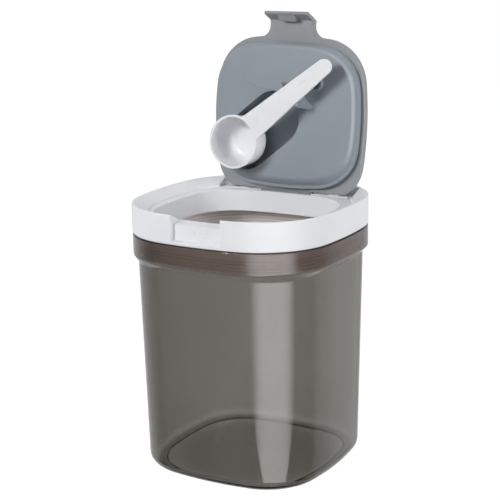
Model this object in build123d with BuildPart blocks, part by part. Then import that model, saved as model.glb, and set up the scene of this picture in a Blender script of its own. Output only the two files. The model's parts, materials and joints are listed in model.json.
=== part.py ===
from build123d import *
from math import atan2, cos, radians, sin, tan
import os

# Formula dispenser: a smoke-grey storage jar, a white lift-off collar with an inner funnel,
# and a hinged lid that carries a sealing plug with a clipped measuring scoop.
# Millimetres. Origin at the centre of the base, +Z up, latch side towards -Y, hinge at +Y.

# ---------------------------------------------------------------- driving dimensions
RING_HALF = 57.5            # half width of the collar ring, the widest piece
RING_TOP = 145.0            # top edge of the collar ring
RING_BOTTOM = 129.75        # underside of the collar ring's outer wall
JAR_RIM = 129.1             # top edge of the jar

# plan shapes: bow of the sides and corner radius, as parts of the half width
RING_BOW = 0.108
RING_CORNER = 0.68
JAR_BOW = 0.1175
JAR_CORNER = 0.585
LID_BOW = 0.095
LID_CORNER = 0.555

# jar
JAR_BASE_HALF = 51.55
JAR_TOP_HALF = 54.0         # half width just under the shoulder
JAR_SHOULDER_LOW = 114.4
JAR_SHOULDER_HIGH = 117.9
JAR_COLLAR_HALF = 57.4
JAR_WALL = 2.1
JAR_FLOOR = 3.0
JAR_BASE_ROUND = 6.4
JAR_INNER_ROUND = 2.0
FOOT_HALF = 43.6            # recess inside the foot ring
FOOT_DEPTH = 1.2
GATE_RADIUS = 4.0
GATE_DEPTH = 0.5

# collar ring
SEAT_Z = 140.1              # flat seat that the lid closes onto
DISH_TOP_HALF = 56.4
DISH_LOW_HALF = 50.0
DISH_LOW_Z = 141.3
SEAT_HALF = 49.4
TRAY_THICK = 2.5
RING_WALL = 1.9
SKIRT_HALF = 52.4
SKIRT_WALL = 1.6
SKIRT_BOTTOM = 116.9
OPENING_HALF_X = 44.9
OPENING_FRONT = -44.3
OPENING_BACK = 37.2
OPENING_FRONT_CORNER = 21.0
OPENING_BACK_CORNER = 26.0
FUNNEL_BOTTOM = 128.0
FUNNEL_WALL = 1.6
FUNNEL_EDGE = 0.5
RING_EDGE_ROUND = 0.5
TRAY_UNDER = SEAT_Z - TRAY_THICK
SKIRT_BEAD_HALF = 53.4
SKIRT_BEAD = 1.0

# latch notch in the front of the collar ring
NOTCH_HALF = 14.5
NOTCH_FLOOR = 131.8
NOTCH_CHEEK = 1.8
LIP_FACE_Y = -54.1
LIP_THICK = 1.9
NOTCH_DEEP = 8.0
CATCH_APART = 7.0
CATCH_WIDE = 3.0
CATCH_HIGH = 1.2
CATCH_Z = 137.0
CATCH_RISE = 0.3

# hinge
HINGE_Y = 39.6
HINGE_Z = 139.6
OPEN_LEAN = 4.5             # the open lid leans this far back past upright, in degrees
PIN_RADIUS = 0.6
PIN_HALF = 37.0
PIN_FIT = 0.05              # radial clearance around the pin
PIN_END = 0.3
PIN_CHAMFER = 0.2
EAR_RADIUS = 1.35
EAR_IN = 15.8
EAR_OUT = 38.0
KNUCKLE_HALF = 15.4
KNUCKLE_RADIUS = 1.35
KNUCKLE_GAP = 0.3
KNUCKLE_CUT = 4.0            # slot behind the knuckle, for the web
KNUCKLE_CUT_FLOOR = 138.6
HINGE_SHELF_HALF = 42.0     # flat shelf behind the ears that the open lid stands over
HINGE_SHELF_FRONT = 36.5
HINGE_SHELF_BACK = 47.2
SHELF_EDGE_HALF = 55.8
STOP_X = 28.0               # pads that the open lid leans back onto
STOP_WIDE = 6.0
STOP_Y = 43.4
STOP_DEEP = 2.0
STOP_TOP = 141.3
WEB_ALONG = 3.5              # the web runs this far into the lid
WEB_OUTER = -3.4
WEB_START = 0.6

# jar gasket
GASKET_FLANGE_HALF = 56.9
GASKET_FLANGE_LOW = 129.2
GASKET_FLANGE_HIGH = 129.7
GASKET_BORE_HALF = SKIRT_HALF + 0.05
GASKET_SLEEVE = 0.85
GASKET_LOW = 118.1
GASKET_LIP_HALF = 55.15
GASKET_LIP_THICK = 0.8
GASKET_LIPS = 4
GASKET_LIP_STEP = 1.7

# lid, in the lid's own plane: along = away from the hinge, height = towards the inside
LID_HALF = 46.1
LID_NEAR = 2.3              # hinge-side edge
LID_FAR = 86.7              # front edge
LID_BACK = -6.1             # where the outline would end if the hinge edge didn't cut it off
LID_INNER = -0.8            # height of the rim's inner face
LID_THICK = 4.5
LID_SKIN = 1.5
PLUG_FIT = 0.05              # clearance around the plug's root
LID_OUTER_ROUND = 1.4
NECK_HALF = 12.9
NECK_FLARE = 6.5
TAB_HALF = 13.1
TAB_NEAR = 95.0             # inner corner between the neck and the tab
TAB_FAR = 98.3              # the tab slants outwards to here
TAB_TIP = 6.6
TAB_THICK = 1.9
TAB_LAP = 1.0
TAB_ROUND = 0.6
HOOK_HALF = 5.2             # rib inside the tab that snaps under the catch nubs
HOOK_REACH = 94.4
HOOK_LOW = 3.3
HOOK_HIGH = 3.8
HOOK_RAMP = 5.9             # its sloping side ends here
NECK_ROOT = 74.7            # the neck's own plate starts here, inside the lid

# sealing plug
PLUG_ROOT_HALF = 43.2
PLUG_ROOT_NEAR = 4.3
PLUG_ROOT_FAR = 82.4
PLUG_SHOULDER_HALF = 43.9
PLUG_SHOULDER_NEAR = 5.2
PLUG_SHOULDER_FAR = 83.0
PLUG_FACE_HALF = 42.9
PLUG_FACE_NEAR = 8.0
PLUG_FACE_FAR = 82.0
PLUG_FACE = 6.7
PLUG_BASE = -3.6
PLUG_WALL = 2.0
PLUG_ROUND = 1.6
SEAL_HALF = 44.1
SEAL_NEAR = 3.4
SEAL_FAR = 83.2
SEAL_LOW = -0.3
SEAL_HIGH = 3.4

# scoop, with its axis square to the lid
BOWL_X = -23.7
BOWL_ALONG = 28.5
BOWL_RIM = 19.7             # height of the rim and of the handle's top
BOWL_RADIUS = 14.8
BOWL_BASE_RADIUS = 13.2
BOWL_DEPTH = 18.0
BOWL_WALL = 1.2
BOWL_ROUND = 6.5
HANDLE_LENGTH = 69.0        # bowl axis to the centre of the round tip
HANDLE_ANGLE = 38.5
HANDLE_ROOT_HALF = 7.5
HANDLE_TIP_RADIUS = 4.2
HANDLE_THICK = 2.0
HANDLE_ROOT = 11.0

# bowl pocket and scoop clips on the plug
POCKET_RADIUS = 15.2
POCKET_X = -5.2
POCKET_ALONG = 41.6
POCKET_LENGTH = 23.0
POCKET_FLOOR = -1.6
CLIP_AT = 44.0              # from the bowl axis along the handle
CLIP_THICK = 1.8
CLIP_TILT = 6.0             # of the clip from square across the handle
CLIP_GAP = 0.3              # under the handle
CLIP_SLACK = 0.6            # beside the handle
CLIP_PRONG = 1.7
CLIP_FLARE = 3.1
CLIP_TOP = 20.9
CLIP_NOSE = 0.9
POST_X = 20.5
POST_ALONG = 62.0
POST_RADIUS = 3.9
POST_BORE = 3.1
POST_TOP = 9.5

# half width of the handle where the clip holds it
CLIP_HOLD = HANDLE_ROOT_HALF + (HANDLE_TIP_RADIUS - HANDLE_ROOT_HALF) * (
    (CLIP_AT - CLIP_THICK / 2 - HANDLE_ROOT) / (HANDLE_LENGTH - HANDLE_ROOT)
)
CLIP_IN = CLIP_HOLD + CLIP_SLACK
CLIP_OUT = CLIP_IN + CLIP_PRONG

# ---------------------------------------------------------------- placing planes
lean = radians(OPEN_LEAN)
tab_slant = atan2(TAB_FAR - TAB_NEAR, TAB_TIP - LID_INNER)
turn = radians(HANDLE_ANGLE)
# the lid's own plane: x across, y along from the hinge to the front edge, z to the inside
lid_plane = Plane(
    origin=(0, HINGE_Y, HINGE_Z), x_dir=(1, 0, 0), z_dir=(0, -cos(lean), sin(lean))
)
lid_up = Axis(lid_plane.origin, lid_plane.z_dir)
# the same lid seen from its side: x along the lid, y to the inside
side_plane = Plane(origin=lid_plane.origin, x_dir=lid_plane.y_dir, z_dir=lid_plane.x_dir)
# at the bowl's axis, with x along the handle
handle_dir = lid_plane.x_dir * cos(turn) + lid_plane.y_dir * sin(turn)
handle_plane = Plane(
    origin=lid_plane.from_local_coords((BOWL_X, BOWL_ALONG, 0)),
    x_dir=handle_dir,
    z_dir=lid_plane.z_dir,
)
bowl_plane = Plane(
    origin=handle_plane.origin, x_dir=handle_plane.x_dir, z_dir=-handle_plane.y_dir
)
# the clip's plate, from its side towards the bowl: x across the handle, y to the inside
tilt = radians(CLIP_TILT)
clip_plane = Plane(
    origin=handle_plane.from_local_coords((CLIP_AT, 0, 0)),
    x_dir=handle_plane.y_dir * cos(tilt) - handle_plane.x_dir * sin(tilt),
    z_dir=handle_plane.x_dir * cos(tilt) + handle_plane.y_dir * sin(tilt),
).offset(-CLIP_THICK / 2)
pocket_plane = Plane(
    origin=lid_plane.from_local_coords(
        (
            POCKET_X - POCKET_LENGTH / 2 * cos(turn),
            POCKET_ALONG - POCKET_LENGTH / 2 * sin(turn),
            0,
        )
    ),
    x_dir=handle_dir,
    z_dir=lid_plane.z_dir,
)


def bowed_square(half_x, half_y, bow, corner, front_corner=None):
    """Square with bowed sides and round corners, centred on its own origin."""
    x = half_x - bow
    y = half_y - bow
    with BuildSketch() as shape:
        with BuildLine():
            ThreePointArc((x, -y), (half_x, 0), (x, y))
            ThreePointArc((x, y), (0, half_y), (-x, y))
            ThreePointArc((-x, y), (-half_x, 0), (-x, -y))
            ThreePointArc((-x, -y), (0, -half_y), (x, -y))
        make_face()
        fillet(shape.vertices().group_by(Axis.Y)[-1], corner)
        fillet(shape.vertices().group_by(Axis.Y)[0], front_corner or corner)
    return shape.sketch


def ring_outline(half):
    return bowed_square(half, half, half * RING_BOW, half * RING_CORNER)


def jar_outline(half):
    return bowed_square(half, half, half * JAR_BOW, half * JAR_CORNER)


def opening_outline(grow):
    """The funnel opening, grown outwards by the given amount."""
    half_y = (OPENING_BACK - OPENING_FRONT) / 2
    shape = bowed_square(
        OPENING_HALF_X + grow,
        half_y + grow,
        OPENING_HALF_X * LID_BOW,
        OPENING_BACK_CORNER + grow,
        OPENING_FRONT_CORNER + grow,
    )
    return Pos(0, (OPENING_BACK + OPENING_FRONT) / 2) * shape


def lid_outline(half, near, far):
    """Outline in the lid plane, from its hinge-side edge to its front edge."""
    half_y = (far - near) / 2
    shape = bowed_square(half, half_y, half * LID_BOW, half * LID_CORNER)
    return Pos(0, (near + far) / 2) * shape


def plug_root(grow):
    """Outline of the plug's root, grown outwards by the given amount."""
    return lid_outline(PLUG_ROOT_HALF + grow, PLUG_ROOT_NEAR - grow, PLUG_ROOT_FAR + grow)


def vessel(inset, floor, base_round, rim):
    """The space inside the jar's outside, drawn in by an inset, from its floor up to a rim."""
    with BuildPart() as shape:
        with BuildSketch(Plane.XY.offset(floor)):
            add(jar_outline(JAR_BASE_HALF - inset))
        with BuildSketch(Plane.XY.offset(JAR_SHOULDER_LOW)):
            add(jar_outline(JAR_TOP_HALF - inset))
        loft(ruled=True)
        fillet(shape.edges().group_by(Axis.Z)[0], base_round)
        with BuildSketch(Plane.XY.offset(JAR_SHOULDER_LOW)):
            add(jar_outline(JAR_TOP_HALF - inset))
        with BuildSketch(Plane.XY.offset(JAR_SHOULDER_HIGH)):
            add(ring_outline(JAR_COLLAR_HALF - inset))
        loft(ruled=True)
        with BuildSketch(Plane.XY.offset(JAR_SHOULDER_HIGH)):
            add(ring_outline(JAR_COLLAR_HALF - inset))
        extrude(amount=rim - JAR_SHOULDER_HIGH)
    return shape.part


def front_block(half_x, back_y, low_z, high_z):
    """Box across the front of the ring, from outside it to the given depth."""
    with BuildPart() as shape:
        with BuildSketch(Plane.XY.offset(low_z)):
            with Locations((0, (back_y - RING_HALF - 2) / 2)):
                Rectangle(2 * half_x, back_y + RING_HALF + 2)
        extrude(amount=high_z - low_z)
    return shape.part


# ---------------------------------------------------------------- jar
with BuildPart() as jar:
    add(vessel(0, 0, JAR_BASE_ROUND, JAR_RIM))
    add(vessel(JAR_WALL, JAR_FLOOR, JAR_INNER_ROUND, JAR_RIM + 1), mode=Mode.SUBTRACT)
    with BuildSketch():
        add(jar_outline(FOOT_HALF))
    extrude(amount=FOOT_DEPTH, mode=Mode.SUBTRACT)
    with BuildSketch(Plane.XY.offset(FOOT_DEPTH)):
        Circle(GATE_RADIUS)
    extrude(amount=GATE_DEPTH, mode=Mode.SUBTRACT)
jar.part.label = "jar"

# ---------------------------------------------------------------- collar ring
with BuildPart() as collar_ring:
    with BuildSketch(Plane.XY.offset(RING_BOTTOM)):
        add(ring_outline(RING_HALF))
    extrude(amount=RING_TOP - RING_BOTTOM)
    fillet(collar_ring.edges().group_by(Axis.Z)[0], RING_EDGE_ROUND)
    # the tray slopes in from the top edge to a bead, then steps down to the seat
    with BuildSketch(Plane.XY.offset(RING_TOP)):
        add(ring_outline(DISH_TOP_HALF))
    with BuildSketch(Plane.XY.offset(DISH_LOW_Z)):
        add(ring_outline(DISH_LOW_HALF))
    loft(ruled=True, mode=Mode.SUBTRACT)
    with BuildSketch(Plane.XY.offset(SEAT_Z)):
        add(ring_outline(SEAT_HALF))
    extrude(amount=RING_TOP - SEAT_Z, mode=Mode.SUBTRACT)
    # hollow underside between the outer wall and the funnel
    with BuildSketch(Plane.XY.offset(RING_BOTTOM)):
        add(ring_outline(RING_HALF - RING_WALL))
        add(opening_outline(FUNNEL_WALL), mode=Mode.SUBTRACT)
    extrude(amount=TRAY_UNDER - RING_BOTTOM, mode=Mode.SUBTRACT)
    # funnel wall and the skirt that drops inside the jar
    with BuildSketch(Plane.XY.offset(FUNNEL_BOTTOM)):
        add(opening_outline(FUNNEL_WALL))
    extrude(amount=RING_BOTTOM - FUNNEL_BOTTOM)
    with BuildSketch(Plane.XY.offset(SKIRT_BOTTOM)):
        add(ring_outline(SKIRT_HALF))
        add(ring_outline(SKIRT_HALF - SKIRT_WALL), mode=Mode.SUBTRACT)
    extrude(amount=TRAY_UNDER - SKIRT_BOTTOM)
    with BuildSketch(Plane.XY.offset(SKIRT_BOTTOM)):
        add(ring_outline(SKIRT_BEAD_HALF))
        add(ring_outline(SKIRT_HALF - SKIRT_WALL), mode=Mode.SUBTRACT)
    extrude(amount=SKIRT_BEAD)
    # flat shelf for the hinge, with its ears and the open lid's two stop pads
    with BuildSketch(Plane.XY.offset(SEAT_Z)):
        with Locations((0, (HINGE_SHELF_FRONT + HINGE_SHELF_BACK) / 2)):
            Rectangle(2 * HINGE_SHELF_HALF, HINGE_SHELF_BACK - HINGE_SHELF_FRONT)
        add(ring_outline(SHELF_EDGE_HALF), mode=Mode.INTERSECT)
    extrude(amount=RING_TOP - SEAT_Z, mode=Mode.SUBTRACT)
    with BuildSketch(Plane.XY.offset(SEAT_Z)):
        with Locations((-STOP_X, STOP_Y), (STOP_X, STOP_Y)):
            Rectangle(STOP_WIDE, STOP_DEEP)
    extrude(amount=STOP_TOP - SEAT_Z)
    with Locations((0, HINGE_Y, HINGE_Z)):
        Cylinder(EAR_RADIUS, 2 * EAR_OUT, rotation=(0, 90, 0))
    # latch notch: solid behind its face, then cut down to the lip and the notch floor
    with BuildSketch(Plane.XY.offset(RING_BOTTOM)):
        with Locations((0, LIP_FACE_Y + LIP_THICK - NOTCH_DEEP / 2)):
            Rectangle(2 * (NOTCH_HALF + NOTCH_CHEEK), NOTCH_DEEP)
        add(ring_outline(RING_HALF), mode=Mode.INTERSECT)
    extrude(amount=SEAT_Z - RING_BOTTOM)
    add(front_block(NOTCH_HALF, OPENING_FRONT + 1, SEAT_Z, RING_TOP + 1), mode=Mode.SUBTRACT)
    add(front_block(NOTCH_HALF, LIP_FACE_Y, NOTCH_FLOOR, RING_TOP), mode=Mode.SUBTRACT)
    with BuildSketch(Plane.XZ.offset(-LIP_FACE_Y - CATCH_RISE / 2)):
        with Locations((-CATCH_APART / 2, CATCH_Z), (CATCH_APART / 2, CATCH_Z)):
            Rectangle(CATCH_WIDE, CATCH_HIGH)
    extrude(amount=CATCH_RISE / 2, both=True)
    # the opening, with its edge broken
    with BuildSketch(Plane.XY.offset(FUNNEL_BOTTOM)):
        add(opening_outline(0))
    extrude(amount=RING_TOP - FUNNEL_BOTTOM, mode=Mode.SUBTRACT)
    with BuildSketch(Plane.XY.offset(SEAT_Z - FUNNEL_EDGE)):
        add(opening_outline(0))
    with BuildSketch(Plane.XY.offset(SEAT_Z)):
        add(opening_outline(FUNNEL_EDGE))
    loft(ruled=True, mode=Mode.SUBTRACT)
    # room for the lid's knuckle, and the pin bore, open at the +X end
    with Locations((0, HINGE_Y, HINGE_Z)):
        Cylinder(
            KNUCKLE_RADIUS + KNUCKLE_GAP, 2 * EAR_IN, rotation=(0, 90, 0), mode=Mode.SUBTRACT
        )
    with BuildSketch(Plane.XY.offset(KNUCKLE_CUT_FLOOR)):
        with Locations((0, HINGE_Y + KNUCKLE_CUT / 2)):
            Rectangle(2 * EAR_IN, KNUCKLE_CUT)
    extrude(amount=RING_TOP - KNUCKLE_CUT_FLOOR, mode=Mode.SUBTRACT)
    with Locations((EAR_OUT - PIN_HALF, HINGE_Y, HINGE_Z)):
        Cylinder(PIN_RADIUS + PIN_FIT, 2 * EAR_OUT, rotation=(0, 90, 0), mode=Mode.SUBTRACT)
collar_ring.part.label = "collar_ring"

# ---------------------------------------------------------------- jar gasket
with BuildPart() as jar_gasket:
    with BuildSketch(Plane.XY.offset(GASKET_FLANGE_LOW)):
        add(ring_outline(GASKET_FLANGE_HALF))
        add(ring_outline(GASKET_BORE_HALF), mode=Mode.SUBTRACT)
    extrude(amount=GASKET_FLANGE_HIGH - GASKET_FLANGE_LOW)
    with BuildSketch(Plane.XY.offset(GASKET_LOW)):
        add(ring_outline(GASKET_BORE_HALF + GASKET_SLEEVE))
        add(ring_outline(GASKET_BORE_HALF), mode=Mode.SUBTRACT)
    extrude(amount=GASKET_FLANGE_HIGH - GASKET_LOW)
    for i in range(GASKET_LIPS):
        with BuildSketch(Plane.XY.offset(GASKET_LOW + GASKET_LIP_STEP * (i + 0.3))):
            add(ring_outline(GASKET_LIP_HALF))
            add(ring_outline(GASKET_BORE_HALF), mode=Mode.SUBTRACT)
        extrude(amount=GASKET_LIP_THICK)
jar_gasket.part.label = "jar_gasket"

# ---------------------------------------------------------------- hinge pin
with BuildPart() as hinge_pin:
    with Locations((0, HINGE_Y, HINGE_Z)):
        Cylinder(PIN_RADIUS, 2 * (PIN_HALF - PIN_END), rotation=(0, 90, 0))
    chamfer(hinge_pin.edges(), PIN_CHAMFER)
hinge_pin.part.label = "hinge_pin"

# ---------------------------------------------------------------- lid cover
with BuildPart() as lid_cover:
    with BuildSketch(lid_plane.offset(LID_INNER - LID_THICK)):
        add(lid_outline(LID_HALF, LID_BACK, LID_FAR))
        with Locations((0, LID_NEAR - LID_HALF / 2)):
            Rectangle(2 * LID_HALF, LID_HALF, mode=Mode.SUBTRACT)
    extrude(amount=LID_THICK)
    fillet(lid_cover.faces().sort_by(lid_up)[0].edges(), LID_OUTER_ROUND)
    # neck, flared into the lid's front edge
    with BuildSketch(lid_plane.offset(LID_INNER - LID_THICK)) as neck:
        add(lid_outline(LID_HALF, LID_BACK, LID_FAR))
        with Locations((0, (LID_BACK + NECK_ROOT) / 2)):
            Rectangle(2 * LID_HALF, NECK_ROOT - LID_BACK, mode=Mode.SUBTRACT)
        with Locations((0, (NECK_ROOT + TAB_NEAR) / 2)):
            Rectangle(2 * NECK_HALF, TAB_NEAR - NECK_ROOT)
        corners = neck.vertices().filter_by_position(Axis.Y, LID_FAR - NECK_FLARE, LID_FAR)
        fillet(corners.filter_by_position(Axis.X, -NECK_HALF - 1, NECK_HALF + 1), NECK_FLARE)
    extrude(amount=LID_THICK)
    # latch tab, bent over at the end of the neck and slanting outwards
    with BuildSketch(side_plane) as tab:
        with BuildLine():
            Polyline(
                (TAB_NEAR - TAB_LAP, LID_INNER),
                (TAB_NEAR - TAB_LAP, LID_INNER - LID_THICK),
                (TAB_NEAR, LID_INNER - LID_THICK),
                (TAB_NEAR + TAB_THICK * cos(tab_slant), LID_INNER - TAB_THICK * sin(tab_slant)),
                (TAB_FAR + TAB_THICK * cos(tab_slant), TAB_TIP - TAB_THICK * sin(tab_slant)),
                (TAB_FAR, TAB_TIP),
                (TAB_NEAR, LID_INNER),
                close=True,
            )
        make_face()
        fillet(tab.vertices().group_by(Axis.Y)[-1], TAB_ROUND)
    extrude(amount=TAB_HALF, both=True)
    with BuildSketch(side_plane):
        with BuildLine():
            Polyline(
                (TAB_NEAR + (HOOK_LOW - LID_INNER) * tan(tab_slant) + 0.5, HOOK_LOW - 0.7),
                (HOOK_REACH, HOOK_LOW),
                (HOOK_REACH, HOOK_HIGH),
                (TAB_NEAR + (HOOK_RAMP - LID_INNER) * tan(tab_slant) + 0.5, HOOK_RAMP),
                close=True,
            )
        make_face()
    extrude(amount=HOOK_HALF, both=True)
    # recess on the inside that holds the plug
    with BuildSketch(lid_plane.offset(LID_INNER - LID_THICK + LID_SKIN)):
        add(plug_root(PLUG_FIT))
    extrude(amount=LID_THICK, mode=Mode.SUBTRACT)
    # hinge knuckle and the web that joins it to the lid
    with BuildSketch(side_plane):
        Circle(KNUCKLE_RADIUS)
        Polygon(
            (0, LID_INNER),
            (-KNUCKLE_RADIUS / 3, LID_INNER),
            (-KNUCKLE_RADIUS / 3, -KNUCKLE_RADIUS + 0.1),
            (WEB_START, WEB_OUTER),
            (WEB_ALONG, WEB_OUTER),
            (WEB_ALONG, LID_INNER),
            align=None,
        )
        Circle(PIN_RADIUS + PIN_FIT, mode=Mode.SUBTRACT)
    extrude(amount=KNUCKLE_HALF, both=True)
lid_cover.part.label = "lid_cover"

# ---------------------------------------------------------------- lid seal
with BuildPart() as lid_seal:
    with BuildSketch(lid_plane.offset(SEAL_LOW)):
        add(lid_outline(SEAL_HALF, SEAL_NEAR, SEAL_FAR))
        add(plug_root(PLUG_FIT), mode=Mode.SUBTRACT)
    extrude(amount=SEAL_HIGH - SEAL_LOW)
lid_seal.part.label = "lid_seal"

# ---------------------------------------------------------------- lid plug
with BuildPart() as lid_plug:
    with BuildSketch(lid_plane.offset(PLUG_BASE)):
        add(plug_root(0))
    extrude(amount=SEAL_HIGH - PLUG_BASE)
    with BuildSketch(lid_plane.offset(SEAL_HIGH)):
        add(lid_outline(PLUG_SHOULDER_HALF, PLUG_SHOULDER_NEAR, PLUG_SHOULDER_FAR))
    with BuildSketch(lid_plane.offset(PLUG_FACE)):
        add(lid_outline(PLUG_FACE_HALF, PLUG_FACE_NEAR, PLUG_FACE_FAR))
    loft(ruled=True)
    fillet(lid_plug.faces().sort_by(lid_up)[-1].edges(), PLUG_ROUND)
    # hollow back
    with BuildSketch(lid_plane.offset(PLUG_BASE)):
        add(
            lid_outline(
                PLUG_FACE_HALF - PLUG_WALL, PLUG_FACE_NEAR + PLUG_WALL, PLUG_FACE_FAR - PLUG_WALL
            )
        )
    extrude(amount=PLUG_FACE - PLUG_WALL - PLUG_BASE, mode=Mode.SUBTRACT)
    # pocket for the bowl
    with BuildSketch(pocket_plane.offset(POCKET_FLOOR - PLUG_WALL)):
        SlotCenterToCenter(POCKET_LENGTH, 2 * (POCKET_RADIUS + PLUG_WALL))
    extrude(amount=PLUG_FACE - POCKET_FLOOR)
    with BuildSketch(pocket_plane.offset(POCKET_FLOOR)):
        SlotCenterToCenter(POCKET_LENGTH, 2 * POCKET_RADIUS)
    extrude(amount=PLUG_FACE - POCKET_FLOOR + 1, mode=Mode.SUBTRACT)
    # cradle across the handle, with a prong each side
    with BuildSketch(clip_plane):
        with BuildLine():
            Polyline(
                (0, PLUG_FACE - PLUG_WALL),
                (CLIP_OUT, PLUG_FACE - PLUG_WALL),
                (CLIP_OUT, CLIP_TOP - CLIP_NOSE),
                (CLIP_OUT - CLIP_NOSE, CLIP_TOP),
                (CLIP_IN - CLIP_SLACK / 2, CLIP_TOP),
                (CLIP_IN - CLIP_SLACK / 2, CLIP_TOP - CLIP_NOSE),
                (CLIP_IN, CLIP_TOP - 2 * CLIP_NOSE),
                (CLIP_IN, BOWL_RIM - HANDLE_THICK - CLIP_GAP),
                (0, BOWL_RIM - HANDLE_THICK - CLIP_GAP),
            )
            mirror(about=Plane.YZ)
        make_face()
        # gusset on the hinge side
        Polygon(
            (-CLIP_OUT, PLUG_FACE - PLUG_WALL),
            (-CLIP_OUT, CLIP_TOP - CLIP_NOSE),
            (-CLIP_OUT - CLIP_FLARE, PLUG_FACE - PLUG_WALL),
            align=None,
        )
    extrude(amount=CLIP_THICK)
    # low round boss under the end of the handle
    with BuildSketch(lid_plane.offset(PLUG_FACE - PLUG_WALL)):
        with Locations((POST_X, POST_ALONG)):
            Circle(POST_RADIUS)
            Circle(POST_BORE, mode=Mode.SUBTRACT)
    extrude(amount=POST_TOP - PLUG_FACE + PLUG_WALL)
lid_plug.part.label = "lid_plug"

# ---------------------------------------------------------------- scoop
with BuildPart() as scoop:
    with BuildSketch(handle_plane.offset(BOWL_RIM - HANDLE_THICK)):
        Polygon(
            (HANDLE_ROOT, HANDLE_ROOT_HALF),
            (HANDLE_ROOT, -HANDLE_ROOT_HALF),
            (HANDLE_LENGTH, -HANDLE_TIP_RADIUS),
            (HANDLE_LENGTH, HANDLE_TIP_RADIUS),
            align=None,
        )
        with Locations((HANDLE_LENGTH, 0)):
            Circle(HANDLE_TIP_RADIUS)
        Circle(BOWL_RADIUS - BOWL_WALL, mode=Mode.SUBTRACT)
    extrude(amount=HANDLE_THICK)
    with BuildSketch(bowl_plane) as wall:
        with BuildLine():
            Polyline(
                (0, BOWL_RIM - BOWL_DEPTH),
                (BOWL_BASE_RADIUS, BOWL_RIM - BOWL_DEPTH),
                (BOWL_RADIUS, BOWL_RIM),
                (BOWL_RADIUS - BOWL_WALL, BOWL_RIM),
                (BOWL_BASE_RADIUS - BOWL_WALL, BOWL_RIM - BOWL_DEPTH + BOWL_WALL),
                (0, BOWL_RIM - BOWL_DEPTH + BOWL_WALL),
                close=True,
            )
        make_face()
        outer = wall.vertices().sort_by_distance((BOWL_BASE_RADIUS, BOWL_RIM - BOWL_DEPTH))[0]
        fillet(outer, BOWL_ROUND)
        inner = wall.vertices().sort_by_distance(
            (BOWL_BASE_RADIUS - BOWL_WALL, BOWL_RIM - BOWL_DEPTH + BOWL_WALL)
        )[0]
        fillet(inner, BOWL_ROUND - BOWL_WALL)
    revolve(axis=Axis(bowl_plane.origin, bowl_plane.y_dir))
scoop.part.label = "scoop"

# ---------------------------------------------------------------- export
os.makedirs("parts", exist_ok=True)
for piece in (jar, collar_ring, jar_gasket, hinge_pin, lid_cover, lid_plug, lid_seal, scoop):
    export_step(piece.part, f"parts/{piece.part.label}.step")
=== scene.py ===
import json
import math

import bmesh
import bpy
import numpy as np
from mathutils import Matrix, Vector


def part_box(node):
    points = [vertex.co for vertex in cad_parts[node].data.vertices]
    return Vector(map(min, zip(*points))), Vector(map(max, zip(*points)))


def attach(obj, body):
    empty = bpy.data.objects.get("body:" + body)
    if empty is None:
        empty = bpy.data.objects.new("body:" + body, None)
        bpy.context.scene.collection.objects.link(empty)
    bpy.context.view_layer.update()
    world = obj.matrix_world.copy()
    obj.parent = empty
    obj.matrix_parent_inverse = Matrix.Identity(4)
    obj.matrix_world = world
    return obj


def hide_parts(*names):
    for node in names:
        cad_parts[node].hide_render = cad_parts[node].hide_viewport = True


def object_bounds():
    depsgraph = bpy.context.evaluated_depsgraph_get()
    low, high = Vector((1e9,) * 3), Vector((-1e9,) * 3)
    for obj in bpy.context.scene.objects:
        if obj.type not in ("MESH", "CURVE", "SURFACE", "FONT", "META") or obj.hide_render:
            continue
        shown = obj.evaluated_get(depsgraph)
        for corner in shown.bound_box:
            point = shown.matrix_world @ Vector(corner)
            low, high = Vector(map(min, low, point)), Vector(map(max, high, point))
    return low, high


# Looks of the formula dispenser. Meshes are built in millimetres and set down in metres.
# Every piece of the CAD model but the hinge pin is stood for by a finer mesh of its shape.

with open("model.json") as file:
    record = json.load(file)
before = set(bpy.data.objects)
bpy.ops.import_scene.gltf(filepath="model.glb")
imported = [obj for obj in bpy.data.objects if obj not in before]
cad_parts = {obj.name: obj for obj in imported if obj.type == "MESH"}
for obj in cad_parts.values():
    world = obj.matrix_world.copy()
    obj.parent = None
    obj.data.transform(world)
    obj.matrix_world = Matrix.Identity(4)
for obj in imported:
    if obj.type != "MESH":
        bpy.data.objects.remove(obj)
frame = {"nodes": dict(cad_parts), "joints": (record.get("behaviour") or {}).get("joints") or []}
cad_low, cad_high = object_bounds()

MM = 0.001


def joint(name):
    return next(j for j in frame["joints"] if j["name"] == name)


def edge(node, end, axis):
    """One side of a CAD node's box, in millimetres: end 0 is the low side and 1 the high side."""
    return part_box(node)[end][axis] / MM


# ---------------------------------------------------------------- sizes, in millimetres
RING_HALF = edge("collar_ring", 1, 0)
RING_TOP = edge("collar_ring", 1, 2)
SKIRT_BOTTOM = edge("collar_ring", 0, 2)
JAR_RIM = edge("jar", 1, 2)
RING_ABOVE_JAR = 0.65
RING_BOTTOM = JAR_RIM + RING_ABOVE_JAR

# plan shapes: bow of the sides and corner radius, as parts of the half width
RING_BOW = 0.108
RING_CORNER = 0.68
JAR_BOW = 0.1175
JAR_CORNER = 0.585
LID_BOW = 0.095
LID_CORNER = 0.555
# how softly an outline turns into the straight edge that cuts it off
CUT_BLEND = 1.0

# collar ring: half widths and heights from the flat seat out to its raised rim
SEAT_Z = 140.1
SEAT_INNER = 48.95
SEAT_HALF = 49.4
STEP_HALF = 49.5
STEP_Z = 141.1
DISH_LOW_HALF = 50.3
DISH_LOW_Z = 141.45
DISH_TOP_HALF = 56.4
TRAY_UNDER = 137.6
RING_WALL = 1.9
SKIRT_HALF = 52.4
SKIRT_INNER = 50.8
SKIRT_BEAD = 1.0
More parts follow.
